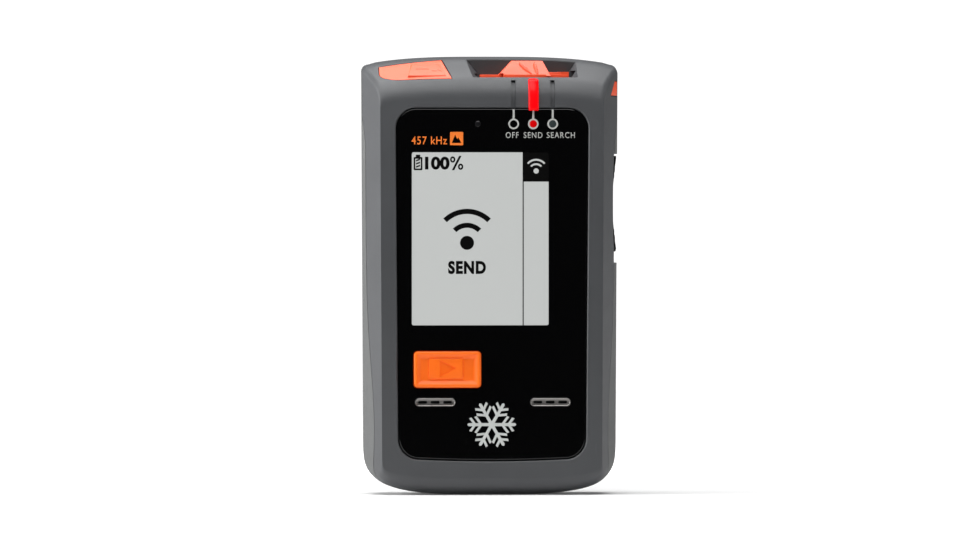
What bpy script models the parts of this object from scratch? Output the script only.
"""Handheld avalanche transceiver, modelled as the separate pieces it comes apart into.

Row frame: +Z up along the case, the display faces -Y, +X is the user's right when they read the display.
The origin is on the ground under the middle of the case. All sizes are metres (MM = one millimetre).
"""

import math

import bmesh
import bpy
from mathutils import Matrix, Vector

MM = 0.001

# ---- driving dimensions of the case ------------------------------------------------------------
CASE_WIDTH = 70.0 * MM
CASE_HEIGHT = 119.5 * MM
CASE_DEPTH = 27.0 * MM
POINTER_PROUD = 1.0 * MM  # how far the mode pointer stands in front of the case
WALL = 2.2 * MM
GAP = 0.3 * MM  # clearance between pieces that touch
SIDE_GAP = 0.2 * MM  # clearance round a push button in its window

SIDE_TAPER = 0.5 * MM  # each side leans in by this much at the bottom end
SIDE_CHAMFER_DEPTH = 9.8 * MM  # the broad flank between the front face and the widest line
SIDE_CHAMFER_WIDTH = 4.5 * MM
REAR_DRAFT = 0.3 * MM
REAR_ROUND = 8.0 * MM
SHOULDER_ANGLE = math.radians(35)  # slope of the top shoulder above the horizontal
SHOULDER_DROP = 7.3 * MM  # where the shoulder's plane would meet the front face, below the top
SHOULDER_FRONT_ROUND = 8.0 * MM
SHOULDER_TOP_ROUND = 10.0 * MM
TOP_CROWN = 2.3 * MM
TOP_CORNER_ROUND = 1.8 * MM
BOTTOM_FRONT_ROUND_DEPTH = 8.0 * MM
BOTTOM_FRONT_ROUND_HEIGHT = 5.0 * MM
BOTTOM_CURVE_HEIGHT = 18.0 * MM
BOTTOM_CURVE_HEIGHT_FRONT = 6.0 * MM
FOOT_HALF_WIDTH = 8.0 * MM

TOP_CROWN_POWER = 3.2
BOTTOM_CURVE_POWERS = (2.2, 5.0)

FRONT_Y = POINTER_PROUD - (CASE_DEPTH + POINTER_PROUD) / 2
BACK_Y = FRONT_Y + CASE_DEPTH

# ---- parting line between the two shells --------------------------------------------------------
PARTING_DEPTH = 8.0 * MM
PARTING_WAVE_HEIGHT = 3.9 * MM
PARTING_WAVE_Z = 18.0 * MM
PARTING_WAVE_SPREAD = 17.0 * MM
PARTING_TOP_SHIFT = 6.0 * MM
PARTING_TOP_SPAN = 26.0 * MM
PARTING_HALF_GAP = 0.1 * MM
GASKET_THICKNESS = 1.2 * MM
GASKET_INSET = 1.2 * MM
GASKET_WIDTH = 0.9 * MM

# ---- display stack ------------------------------------------------------------------------------
WINDOW_WIDTH_TOP = 53.1 * MM
WINDOW_WIDTH_BOTTOM = 51.6 * MM
WINDOW_TOP_BELOW_CASE = 14.3 * MM
WINDOW_BOTTOM_Z = 9.9 * MM
WINDOW_BOTTOM_BOW = 0.5 * MM
WINDOW_CORNER = 5.5 * MM
WINDOW_RECESS = 0.3 * MM
WINDOW_THICKNESS = 1.5 * MM
WINDOW_SEAL_THICKNESS = 0.4 * MM
WINDOW_LEDGE = 2.0 * MM
LEDGE_THICKNESS = 1.5 * MM
LCD_LEFT_X = -22.7 * MM
LCD_WIDTH = 39.8 * MM
LCD_HEIGHT = 53.0 * MM
LCD_TOP_BELOW_WINDOW = 9.4 * MM
LCD_THICKNESS = 1.8 * MM
BACKLIGHT_THICKNESS = 1.8 * MM
FRAME_RIM = 0.6 * MM
BOARD_WIDTH = 43.0 * MM
BOARD_BOTTOM_Z = 12.5 * MM
BOARD_THICKNESS = 1.2 * MM
BOARD_CORNER = 2.5 * MM

# ---- front controls -----------------------------------------------------------------------------
BUTTON_SIZE = (18.2 * MM, 9.8 * MM)
BUTTON_CENTRE = (-12.0 * MM, 34.2 * MM)
BUTTON_CORNER = 1.0 * MM
BUTTON_PROUD = 0.7 * MM
BUTTON_FLANGE = 1.2 * MM
BUTTON_FLANGE_THICKNESS = 0.8 * MM
BUTTON_DISH_RIM = 1.5 * MM
BUTTON_DISH_DEPTH = 0.8 * MM
BUTTON_PAD_SIZE = (9.2 * MM, 5.5 * MM)
BUTTON_PAD_HEIGHT = 0.4 * MM
BUTTON_TRAVEL = 0.6 * MM

GRILLE_SIZE = (11.0 * MM, 2.2 * MM)
GRILLE_Z = 25.3 * MM
GRILLE_X = (-15.5 * MM, 15.9 * MM)
GRILLE_THICKNESS = 1.4 * MM
GRILLE_SLOT = (2.45 * MM, 0.8 * MM)
GRILLE_SLOT_PITCH = 3.4 * MM
SPEAKER_SIZE = (13.0 * MM, 3.0 * MM, 7.6 * MM)

# ---- mode switch --------------------------------------------------------------------------------
SWITCH_X = 11.3 * MM  # the pointer at SEND, the middle of the three positions
SWITCH_PITCH = 5.27 * MM
WELL_LIP_X = (-5.3 * MM, 24.2 * MM)  # the well's mouth on the shoulder, at the level of its front lip
WELL_FLOOR_X = (-2.4 * MM, 20.4 * MM)  # the well at its back wall, at the same level
WELL_TOP_X = (-7.2 * MM, 24.4 * MM)  # the well at the top of the case
WELL_LIP_DROP = 5.8 * MM  # below the top of the case
WELL_FLOOR_DROP = 6.6 * MM
WELL_MOUTH_DEPTH = 1.8 * MM  # from the front face to the mouth
WELL_BACK_DEPTH = 9.6 * MM  # from the front face to the well's back wall
WELL_WALL = 1.4 * MM
SLIDER_PLATE = 1.3 * MM
SLIDER_PLATE_X = (-2.9 * MM, 21.0 * MM)
SLIDER_TONGUE_X = (3.4 * MM, 15.0 * MM)  # the middle of the plate comes forward to carry the pointer
SLIDER_TONGUE_DEPTH = 3.9 * MM
SLIDER_WING_DEPTH = 6.5 * MM
SLIDER_GRIP_BASE_X = (1.7 * MM, 16.3 * MM)
SLIDER_GRIP_TOP_X = (5.8 * MM, 14.3 * MM)
SLIDER_GRIP_HEIGHT = 3.8 * MM
SLIDER_GRIP_SLOPE = math.radians(42)
SLIDER_STEP_X = (15.0 * MM, 19.2 * MM)
SLIDER_STEP_HEIGHT = 0.7 * MM
POINTER_WIDTH = 3.0 * MM
POINTER_THICKNESS = 0.85 * MM
POINTER_LENGTH = 9.2 * MM  # below the lip
POINTER_CLEARANCE = POINTER_PROUD - POINTER_THICKNESS
MARK_WIDTH = 1.4 * MM
MARK_DEPTH = 0.3 * MM
CARRIAGE_SIZE = (9.0 * MM, 4.0 * MM, 2.6 * MM)
CARRIAGE_LEG = (3.0 * MM, 1.8 * MM)
MAGNET_RADIUS = 1.1 * MM
LIGHT_GUIDE_RADIUS = 0.95 * MM
INDICATOR_BELOW_WINDOW_TOP = 4.2 * MM
LIGHT_SENSOR_X = -3.8 * MM

# ---- lock button on the shoulder ----------------------------------------------------------------
LOCK_X = (-30.4 * MM, -10.9 * MM)
LOCK_BOTTOM_DROP = 5.9 * MM
LOCK_TOP_DROP = 1.5 * MM
LOCK_THICKNESS = 3.6 * MM
LOCK_FLANGE = 0.9 * MM
LOCK_SPRING_RADIUS = 1.6 * MM
LOCK_SPRING_WIRE = 0.22 * MM
LOCK_SPRING_LENGTH = 4.0 * MM
LOCK_POST_RADIUS = 2.4 * MM

# ---- right-hand side controls -------------------------------------------------------------------
SIDE_BUTTON_BELOW_TOP = (10.7 * MM, 5.9 * MM)
SIDE_BUTTON_Y = (-8.4 * MM, -3.2 * MM)
SIDE_BUTTON_SUNK = 0.55 * MM
SIDE_BUTTON_THICKNESS = 3.6 * MM
SIDE_BUTTON_TRAVEL = 0.6 * MM
ROCKER_Z = (66.2 * MM, 92.4 * MM)
ROCKER_Y = (-2.6 * MM, 6.4 * MM)
ROCKER_CORNER = 2.6 * MM
ROCKER_THICKNESS = 3.8 * MM
ROCKER_SCOOP_RADIUS = 77.0 * MM
ROCKER_PIN_RADIUS = 0.6 * MM
ROCKER_PIN_DEPTH = 2.7 * MM
ROCKER_PIN_BURIED = 0.8 * MM
ROCKER_BOSS = 1.5 * MM
SCOOP_RADIUS = 110.0 * MM
SCOOP_DEPTH = 1.25 * MM
SIDE_BOARD_INSET = WALL + 4.2 * MM  # from the case's side to the middle of the side keys' board
SIDE_BOARD_THICKNESS = 1.0 * MM
SIDE_BOARD_TOP_DROP = WALL + 1.4 * MM  # the board's top edge stays this far under the side button's top

# ---- lanyard anchor -----------------------------------------------------------------------------
LANYARD_NOTCH_Z = (63.2 * MM, 65.9 * MM)
LANYARD_NOTCH_DEPTH = 0.9 * MM
LANYARD_POCKET_Z = (57.4 * MM, 64.4 * MM)
LANYARD_POCKET_Y = (3.2 * MM, 8.4 * MM)
LANYARD_POCKET_DEPTH = 4.6 * MM
LANYARD_PIN_RADIUS = 0.9 * MM
LANYARD_PIN_BURIED = 1.2 * MM
LANYARD_WALL = 1.3 * MM

# ---- battery bay and door -----------------------------------------------------------------------
CELL_RADIUS = 5.2 * MM
CELL_LENGTH = 44.5 * MM
CELL_NUB = (1.9 * MM, 0.8 * MM)
CELL_COUNT = 3
BAY_BOTTOM_Z = 13.2 * MM
BAY_WALL = 1.3 * MM
SPRING_LENGTH = 3.4 * MM
CONTACT_THICKNESS = 0.4 * MM
SPRING_WIRE_RADIUS = 0.3 * MM
DOOR_THICKNESS = 2.0 * MM
DOOR_LAP = 2.0 * MM  # how far the door overlaps the bay's rim
DOOR_CORNER = 2.5 * MM
DOOR_FOOT_LAP = 2.6 * MM
DOOR_HEAD_LAP = 7.6 * MM  # room for the coin screw above the bay
DOOR_SEAL_WIDTH = 0.9 * MM
DOOR_SEAL_DEPTH = 0.7 * MM
DOOR_TAB = (7.0 * MM, 1.4 * MM, 0.9 * MM)
DOOR_TAB_X = 10.0 * MM
COIN_SCREW_HEAD = 3.6 * MM
COIN_SCREW_SHANK = 1.4 * MM
COIN_SCREW_LENGTH = 5.0 * MM
INSERT_RADIUS = 2.4 * MM
INSERT_LENGTH = 4.0 * MM

# ---- case screws --------------------------------------------------------------------------------
CASE_SCREW_FROM_SIDE = 10.4 * MM
CASE_SCREW_FROM_BOTTOM = 12.2 * MM
CASE_SCREW_FROM_TOP = 15.0 * MM
CASE_SCREW_HEAD = (1.9 * MM, 1.4 * MM)
CASE_SCREW_SHANK = 1.0 * MM
CASE_SCREW_SUNK = 1.2 * MM
CASE_SCREW_BITE = 5.2 * MM
POST_RADIUS = 2.6 * MM
POST_MEETS_DEPTH = 10.0 * MM  # where front and rear screw posts meet, behind the front face

# ---- antennas -----------------------------------------------------------------------------------
ROD_RADIUS = 4.0 * MM
COIL_THICKNESS = 0.9 * MM
LONG_ROD_FROM_SIDE = WALL + 7.2 * MM
LONG_ROD_Y = 2.4 * MM
LONG_ROD_BOTTOM_Z = 20.0 * MM
LONG_ROD_BELOW_TOP = 21.5 * MM
LONG_COIL_LENGTH = 58.0 * MM
CROSS_ROD_X = (-17.5 * MM, 23.0 * MM)
CROSS_ROD_BELOW_TOP = 29.5 * MM
CROSS_ROD_Y = 5.0 * MM
CROSS_COIL_LENGTH = 29.0 * MM
FLAT_COIL_SIZE = (30.0 * MM, 11.0 * MM)
FLAT_COIL_BAND = 3.0 * MM
FLAT_COIL_THICKNESS = 2.6 * MM
FLAT_COIL_BELOW_CROSS_ROD = 12.0 * MM

ROUND_SIDES = 24
GREY = (0.075, 0.078, 0.082, 1)
DARK = (0.012, 0.012, 0.013, 1)
ORANGE = (0.95, 0.14, 0.02, 1)


# ---- scene, materials and small builders --------------------------------------------------------
for old in list(bpy.data.objects):
    bpy.data.objects.remove(old)

PARTS = bpy.data.collections.new("avalanche_transceiver")
CUTTERS = bpy.data.collections.new("cutters")
for collection in (PARTS, CUTTERS):
    bpy.context.scene.collection.children.link(collection)


def material(name, colour, roughness, metallic=0.0):
    """A Principled material, made once for each name."""
    found = bpy.data.materials.get(name)
    if found:
        return found
    made = bpy.data.materials.new(name)
    made.use_nodes = True
    shader = made.node_tree.nodes["Principled BSDF"]
    shader.inputs["Base Color"].default_value = colour
    shader.inputs["Roughness"].default_value = roughness
    shader.inputs["Metallic"].default_value = metallic
    made.diffuse_color = colour
    return made


def place(obj, name, finish=None):
    """Names an object and files it with the parts, or with the cutters when it has no finish."""
    obj.name = name
    obj.data.name = name
    for collection in list(obj.users_collection):
        collection.objects.unlink(obj)
    obj.hide_render = finish is None
    obj.display_type = "WIRE" if finish is None else "TEXTURED"
    if finish is None:
        CUTTERS.objects.link(obj)
    else:
        PARTS.objects.link(obj)
        obj.data.materials.clear()
        obj.data.materials.append(finish)
    return obj


def from_bmesh(build, name, finish=None):
    mesh = bpy.data.meshes.new(name)
    build.to_mesh(mesh)
    build.free()
    return place(bpy.data.objects.new(name, mesh), name, finish)


def box(name, low, high, finish=None, bevel=0.0):
    """A box between two corners, with its edges bevelled if asked."""
    low, high = Vector(low), Vector(high)
    bpy.ops.mesh.primitive_cube_add(size=1, location=(low + high) / 2)
    obj = bpy.context.object
    obj.data.transform(Matrix.Diagonal((*(high - low), 1)))
    if bevel:
        edge = obj.modifiers.new("rounded edges", "BEVEL")
        edge.width = bevel
        edge.segments = 2
    return place(obj, name, finish)


def cylinder(name, radius, start, end, finish=None, sides=ROUND_SIDES, bevel=0.0):
    """A round bar from start to end, with its rims bevelled if asked."""
    start, end = Vector(start), Vector(end)
    along = end - start
    bpy.ops.mesh.primitive_cylinder_add(vertices=sides, radius=radius, depth=along.length,
                                        location=(start + end) / 2)
    obj = bpy.context.object
    obj.rotation_mode = "QUATERNION"
    obj.rotation_quaternion = along.to_track_quat("Z", "Y")
    obj.data.set_sharp_from_angle(angle=math.radians(40))
    if bevel:
        edge = obj.modifiers.new("rounded rims", "BEVEL")
        edge.width = bevel
        edge.segments = 1
    return place(obj, name, finish)


def turned(name, profile, centre, direction, finish=None, sides=ROUND_SIDES):
    """A turned piece. The profile is (radius, height) from the top of the axis down to its bottom."""
    mesh = bpy.data.meshes.new(name)
    mesh.from_pydata([(r, 0, h) for r, h in profile], [(i, i + 1) for i in range(len(profile) - 1)], [])
    obj = bpy.data.objects.new(name, mesh)
    screw = obj.modifiers.new("turn", "SCREW")
    screw.steps = screw.render_steps = sides
    screw.use_merge_vertices = True
    screw.merge_threshold = 0.00001
    obj.location = centre
    obj.rotation_mode = "QUATERNION"
    obj.rotation_quaternion = Vector(direction).to_track_quat("Z", "Y")
    return place(obj, name, finish)


def as_mesh(curve, name, finish=None):
    """A curve object made into a welded mesh, so that it can be cut."""
    bpy.context.view_layer.update()
    graph = bpy.context.evaluated_depsgraph_get()
    mesh = bpy.data.meshes.new_from_object(curve.evaluated_get(graph))
    build = bmesh.new()
    build.from_mesh(mesh)
    bmesh.ops.remove_doubles(build, verts=build.verts, dist=0.000001)
    bmesh.ops.recalc_face_normals(build, faces=build.faces)
    build.to_mesh(mesh)
    build.free()
    obj = bpy.data.objects.new(name, mesh)
    obj.matrix_world = curve.matrix_world.copy()
    bpy.data.objects.remove(curve)
    return place(obj, name, finish)


def plate(name, loops, thickness, matrix, finish=None):
    """A flat piece from outlines in the plane of matrix: the first loop is the edge, the rest are holes."""
    curve = bpy.data.curves.new(name, "CURVE")
    curve.dimensions = "2D"
    curve.fill_mode = "BOTH"
    curve.extrude = thickness / 2
    for loop in loops:
        spline = curve.splines.new("POLY")
        spline.points.add(len(loop) - 1)
        spline.use_cyclic_u = True
        for point, (u, v) in zip(spline.points, loop):
            point.co = (u, v, 0, 1)
    obj = bpy.data.objects.new(name, curve)
    bpy.context.scene.collection.objects.link(obj)
    obj.matrix_world = matrix
    return as_mesh(obj, name, finish)


def facing_front(y):
    """The plane of a plate that faces the user: its outline is in (x, z), and y is its middle."""
    return Matrix.Translation((0, y, 0)) @ Matrix.Rotation(math.radians(90), 4, "X")


def facing_right(x):
    """The plane of a plate on the right-hand side: its outline is in (y, z), and x is its middle."""
    turn = Matrix(((0, 0, 1, 0), (1, 0, 0, 0), (0, 1, 0, 0), (0, 0, 0, 1)))
    return Matrix.Translation((x, 0, 0)) @ turn


def set_origin(obj, point):
    """Moves an object's origin to a point in the row frame and leaves its shape where it is."""
    local = obj.matrix_world.inverted() @ Vector(point)
    obj.data.transform(Matrix.Translation(-local))
    obj.matrix_world = obj.matrix_world @ Matrix.Translation(local)


def wire(name, points, radius, finish, resolution=2):
    """A round wire along points."""
    curve = bpy.data.curves.new(name, "CURVE")
    curve.dimensions = "3D"
    curve.bevel_depth = radius
    curve.bevel_resolution = resolution
    curve.use_fill_caps = True
    spline = curve.splines.new("POLY")
    spline.points.add(len(points) - 1)
    for point, co in zip(spline.points, points):
        point.co = (*co, 1)
    return place(bpy.data.objects.new(name, curve), name, finish)


def boolean(obj, other, operation):
    step = obj.modifiers.new(f"{operation.lower()} {other.name}", "BOOLEAN")
    step.operation = operation
    step.object = other
    step.solver = "EXACT"


def cut(obj, *cutters):
    for cutter in cutters:
        boolean(obj, cutter, "DIFFERENCE")


def join(obj, *others):
    for other in others:
        boolean(obj, other, "UNION")


def keep_inside(obj, *spaces):
    for space in spaces:
        boolean(obj, space, "INTERSECT")


def rounded_rectangle(low, high, radius, steps=4):
    """The outline of a rectangle with round corners, counter-clockwise."""
    corners = [(high[0] - radius, low[1] + radius, -90), (high[0] - radius, high[1] - radius, 0),
               (low[0] + radius, high[1] - radius, 90), (low[0] + radius, low[1] + radius, 180)]
    points = []
    for x, y, start in corners:
        for step in range(steps + 1):
            angle = math.radians(start + 90 * step / steps)
            points.append((x + radius * math.cos(angle), y + radius * math.sin(angle)))
    return points


def centred(centre, size):
    """(low, high) corners of a rectangle."""
    return ((centre[0] - size[0] / 2, centre[1] - size[1] / 2),
            (centre[0] + size[0] / 2, centre[1] + size[1] / 2))


def grown(low, high, by):
    return (low[0] - by, low[1] - by), (high[0] + by, high[1] + by)


# ---- finishes -----------------------------------------------------------------------------------
CASE_PLASTIC = material("case_plastic", GREY, 0.55)
DARK_RUBBER = material("dark_rubber", DARK, 0.8)
SEAL_RUBBER = material("seal_rubber", (0.03, 0.03, 0.03, 1), 0.9)
ORANGE_PLASTIC = material("orange_plastic", ORANGE, 0.4)
RED_CLEAR = material("red_light_guide", (0.8, 0.01, 0.01, 1), 0.15)
BLACK_GLASS = material("black_window", (0.002, 0.002, 0.002, 1), 0.08)
LCD_GLASS = material("lcd_glass", (0.55, 0.56, 0.55, 1), 0.25)
WHITE_PLASTIC = material("white_plastic", (0.8, 0.8, 0.78, 1), 0.5)
BLACK_PLASTIC = material("black_plastic", (0.02, 0.02, 0.02, 1), 0.5)
BOARD_GREEN = material("circuit_board", (0.02, 0.16, 0.06, 1), 0.45)
FERRITE = material("ferrite", (0.05, 0.05, 0.055, 1), 0.6)
COPPER = material("copper_winding", (0.6, 0.22, 0.09, 1), 0.35, 0.9)
STEEL = material("steel", (0.55, 0.55, 0.56, 1), 0.3, 1.0)
NICKEL = material("nickel", (0.6, 0.58, 0.54, 1), 0.25, 1.0)
BRASS = material("brass", (0.6, 0.42, 0.15, 1), 0.3, 1.0)
CELL_WRAP = material("cell_wrap", (0.1, 0.12, 0.2, 1), 0.35)


# ---- the case's outer form ----------------------------------------------------------------------
def flank_half_width(depth):
    """Half the case's width at the top end, at a depth behind the front face."""
    half = CASE_WIDTH / 2
    if depth < SIDE_CHAMFER_DEPTH:
        return half - SIDE_CHAMFER_WIDTH * (1 - depth / SIDE_CHAMFER_DEPTH)
    straight_end = CASE_DEPTH - REAR_ROUND
    draft = REAR_DRAFT * min(1, (depth - SIDE_CHAMFER_DEPTH) / (straight_end - SIDE_CHAMFER_DEPTH))
    return half - draft - rear_round(depth)


def rear_round(depth):
    """How far the rounded rear edge has come in at a depth."""
    into = max(0.0, depth - (CASE_DEPTH - REAR_ROUND))
    return REAR_ROUND - math.sqrt(max(0.0, REAR_ROUND ** 2 - into ** 2))


def shoulder_points():
    """The side view of the front, shoulder and top: tangent points and arc centres, as (depth, height)."""
    slope = math.tan(SHOULDER_ANGLE)
    foot = CASE_HEIGHT - SHOULDER_DROP
    front_run = SHOULDER_FRONT_ROUND * math.tan((math.pi / 2 - SHOULDER_ANGLE) / 2)
    top_run = SHOULDER_TOP_ROUND * math.tan(SHOULDER_ANGLE / 2)
    crest = SHOULDER_DROP / slope
    return foot, foot - front_run, front_run * math.cos(SHOULDER_ANGLE), crest, top_run


def top_height(depth):
    """Height of the case's middle line at a depth: front round, sloped shoulder, top round, rear round."""
    foot, front_arc_z, slope_start, crest, top_run = shoulder_points()
    slope_end = crest - top_run * math.cos(SHOULDER_ANGLE)
    if depth < slope_start:
        return front_arc_z + math.sqrt(SHOULDER_FRONT_ROUND ** 2 - (SHOULDER_FRONT_ROUND - depth) ** 2)
    if depth < slope_end:
        return foot + depth * math.tan(SHOULDER_ANGLE)
    if depth < crest + top_run:
        short = crest + top_run - depth
        return CASE_HEIGHT - SHOULDER_TOP_ROUND + math.sqrt(SHOULDER_TOP_ROUND ** 2 - short ** 2)
    return CASE_HEIGHT - rear_round(depth)


def bottom_height(depth):
    """Height of the underside's middle line at a depth."""
    short = max(0.0, 1 - depth / BOTTOM_FRONT_ROUND_DEPTH)
    return BOTTOM_FRONT_ROUND_HEIGHT * (1 - math.sqrt(1 - short ** 2)) + rear_round(depth)


def even_points(dense, count):
    """count + 1 points spread evenly by length along a densely sampled line."""
    runs = [0.0]
    for a, b in zip(dense, dense[1:]):
        runs.append(runs[-1] + math.dist(a, b))
    points = []
    for step in range(count + 1):
        want = runs[-1] * step / count
        i = min(max(1, next((k for k, run in enumerate(runs) if run >= want), len(runs) - 1)), len(runs) - 1)
        share = (want - runs[i - 1]) / (runs[i] - runs[i - 1])
        points.append(tuple(a + (b - a) * share for a, b in zip(dense[i - 1], dense[i])))
    return points


def case_outline(depth, inset):
    """The case's outline (x, z) at a depth, moved in by inset. Every depth gives as many points."""
    half_top = flank_half_width(depth) - inset
    half_bottom = half_top - SIDE_TAPER
    low = bottom_height(depth) + inset
    high = top_height(depth) - inset
    share = min(1.0, depth / SIDE_CHAMFER_DEPTH)
    curve = BOTTOM_CURVE_HEIGHT_FRONT + (BOTTOM_CURVE_HEIGHT - BOTTOM_CURVE_HEIGHT_FRONT) * share
    foot = FOOT_HALF_WIDTH
    px, pz = BOTTOM_CURVE_POWERS
    dense = []
    for step in range(181):
        angle = math.pi / 2 * (1 - step / 180)
        dense.append((foot + (half_bottom - foot) * max(0.0, math.cos(angle)) ** (2 / px),
                      low + curve - curve * max(0.0, math.sin(angle)) ** (2 / pz)))
    right = [(0.0, low)] + even_points(dense, 9)

    def crown(x):
        return high - TOP_CROWN * abs(x / (CASE_WIDTH / 2)) ** TOP_CROWN_POWER

    radius = TOP_CORNER_ROUND
    corner_x = half_top - radius
    corner_z = crown(half_top - radius * 0.3) - radius
    for step in range(4):
        angle = math.radians(90 * step / 3)
        right.append((corner_x + radius * math.cos(angle), corner_z + radius * math.sin(angle)))
    crown_steps = 6
    for step in range(1, crown_steps + 1):
        x = corner_x * (1 - step / crown_steps)
        right.append((x, crown(x)))
    left = [(-x, z) for x, z in reversed(right[1:-1])]
    return right + left


def case_depths():
    """The depths of the case's cross-sections: close together where its surface turns."""
    foot, front_arc_z, slope_start, crest, top_run = shoulder_points()
    front = [slope_start * share for share in (0.0, 0.06, 0.2, 0.45, 0.72, 1.0)]
    slope_end = crest - top_run * math.cos(SHOULDER_ANGLE)
    top = [(slope_start + slope_end) / 2, slope_end, SIDE_CHAMFER_DEPTH, crest + top_run * 0.35,
           crest + top_run]
    straight_end = CASE_DEPTH - REAR_ROUND
    rear = [straight_end + REAR_ROUND * math.sin(math.radians(a)) for a in (0, 20, 38, 55, 72, 90)]
    return front + top + rear


def case_solid(name, inset=0.0):
    """The case's outer form as a solid, or a smaller one that keeps inset inside it on every side."""
    build = bmesh.new()
    rings = []
    shrink = (CASE_DEPTH - 2 * inset) / CASE_DEPTH
    for depth in case_depths():
        y = FRONT_Y + inset + depth * shrink
        rings.append([build.verts.new((x, y, z)) for x, z in case_outline(depth, inset)])
    for a, b in zip(rings, rings[1:]):
        count = len(a)
        for i in range(count):
            build.faces.new((a[i], a[(i + 1) % count], b[(i + 1) % count], b[i]))
    build.faces.new(list(reversed(rings[0])))
    build.faces.new(rings[-1])
    bmesh.ops.recalc_face_normals(build, faces=build.faces)
    return from_bmesh(build, name)


def parting_y(z):
    """Where the two shells meet, at a height: it comes forward low down and goes back under the shoulder."""
    wave = PARTING_WAVE_HEIGHT * math.exp(-((z - PARTING_WAVE_Z) / PARTING_WAVE_SPREAD) ** 2 / 2)
    rise = min(1.0, max(0.0, 1 - (CASE_HEIGHT - z) / PARTING_TOP_SPAN))
    return FRONT_Y + PARTING_DEPTH - wave + PARTING_TOP_SHIFT * rise * rise * (3 - 2 * rise)


def parting_slab(name, front, back):
    """Space between two sheets along the parting line, offset along Y by front and back (None is open)."""
    beyond = 5 * MM
    heights = [-beyond + (CASE_HEIGHT + 2 * beyond) * step / 22 for step in range(23)]
    near = [(FRONT_Y - 2 * beyond if front is None else parting_y(z) + front, z) for z in heights]
    far = [(BACK_Y + 2 * beyond if back is None else parting_y(z) + back, z) for z in heights]
    width = CASE_WIDTH + 2 * beyond
    if front is None:
        near = [near[0], near[-1]]
    if back is None:
        far = [far[0], far[-1]]
    return plate(name, [far + near[::-1]], width, facing_right(0))


def gasket_groove(tag, front, back):
    """Cutter for the step inside the wall that holds the gasket."""
    groove = parting_slab(f"gasket_groove_{tag}", front, back)
    keep_inside(groove, case_solid(f"groove_outside_{tag}", GASKET_INSET - GAP))
    cut(groove, case_solid(f"groove_inside_{tag}", max(WALL, GASKET_INSET + GASKET_WIDTH + GAP) + 0.1 * MM))
    return groove


# ---- outlines on the front ----------------------------------------------------------------------
WINDOW_TOP_Z = CASE_HEIGHT - WINDOW_TOP_BELOW_CASE


def window_outline(grow=0.0, steps=5):
    """The window's edge (x, z): it narrows downwards, and its bottom edge bows down."""
    top, bottom = WINDOW_TOP_Z + grow, WINDOW_BOTTOM_Z - grow
    radius = WINDOW_CORNER + grow
    lean = (WINDOW_WIDTH_TOP - WINDOW_WIDTH_BOTTOM) / 2

    def half(z):
        share = (z - WINDOW_BOTTOM_Z) / (WINDOW_TOP_Z - WINDOW_BOTTOM_Z)
        return WINDOW_WIDTH_BOTTOM / 2 + lean * share + grow

    right = []
    for step in range(5):
        share = step / 4
        x = (half(bottom) - radius) * share
        right.append((x, bottom - WINDOW_BOTTOM_BOW * (1 - share ** 2)))
    for step in range(1, steps + 1):
        angle = math.radians(-90 + 90 * step / steps)
        right.append((half(bottom) - radius + radius * math.cos(angle),
                      bottom + radius + radius * math.sin(angle)))
    for step in range(steps + 1):
        angle = math.radians(90 * step / steps)
        right.append((half(top) - radius + radius * math.cos(angle), top - radius + radius * math.sin(angle)))
    return right + [(-x, z) for x, z in reversed(right[1:])]


SIDE_BUTTON_Z = tuple(CASE_HEIGHT - drop for drop in SIDE_BUTTON_BELOW_TOP)
SIDE_BOARD_X = CASE_WIDTH / 2 - SIDE_BOARD_INSET
WINDOW_FRONT_Y = FRONT_Y + WINDOW_RECESS
WINDOW_BACK_Y = WINDOW_FRONT_Y + WINDOW_THICKNESS
SEAL_FRONT_Y = WINDOW_BACK_Y + GAP
LEDGE_FRONT_Y = SEAL_FRONT_Y + WINDOW_SEAL_THICKNESS + GAP
LEDGE_BACK_Y = LEDGE_FRONT_Y + LEDGE_THICKNESS
LCD_FRONT_Y = WINDOW_BACK_Y + GAP
LCD_BACK_Y = LCD_FRONT_Y + LCD_THICKNESS
BACKLIGHT_BACK_Y = LCD_BACK_Y + GAP + BACKLIGHT_THICKNESS
BOARD_FRONT_Y = BACKLIGHT_BACK_Y + 2 * GAP
BOARD_BACK_Y = BOARD_FRONT_Y + BOARD_THICKNESS
BOARD_TOP_Z = WINDOW_TOP_Z - WINDOW_LEDGE
LCD_TOP_Z = WINDOW_TOP_Z - LCD_TOP_BELOW_WINDOW
INDICATOR_Z = WINDOW_TOP_Z - INDICATOR_BELOW_WINDOW_TOP


# ---- battery bay numbers ------------------------------------------------------------------------
CELL_PITCH = 2 * CELL_RADIUS + GAP
BAY_HALF_WIDTH = CELL_COUNT * CELL_PITCH / 2 + GAP / 2
DOOR_FRONT_Y = BACK_Y - DOOR_THICKNESS
BAY_FLOOR_Y = DOOR_FRONT_Y - 2 * GAP - 2 * CELL_RADIUS - GAP
CELL_Y = BAY_FLOOR_Y + GAP + CELL_RADIUS
BAY_LENGTH = CELL_LENGTH + SPRING_LENGTH + 2 * CONTACT_THICKNESS + 5 * GAP
BAY_TOP_Z = BAY_BOTTOM_Z + BAY_LENGTH
DOOR_LOW = (-BAY_HALF_WIDTH - DOOR_LAP, BAY_BOTTOM_Z - DOOR_FOOT_LAP)
DOOR_HIGH = (BAY_HALF_WIDTH + DOOR_LAP, BAY_TOP_Z + DOOR_HEAD_LAP)
COIN_SCREW_Z = DOOR_HIGH[1] - COIN_SCREW_HEAD - 0.8 * MM


# ---- shoulder frame -----------------------------------------------------------------------------
SHOULDER_NORMAL = Vector((0, -math.sin(SHOULDER_ANGLE), math.cos(SHOULDER_ANGLE)))
SHOULDER_UP = Vector((0, math.cos(SHOULDER_ANGLE), math.sin(SHOULDER_ANGLE)))


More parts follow.
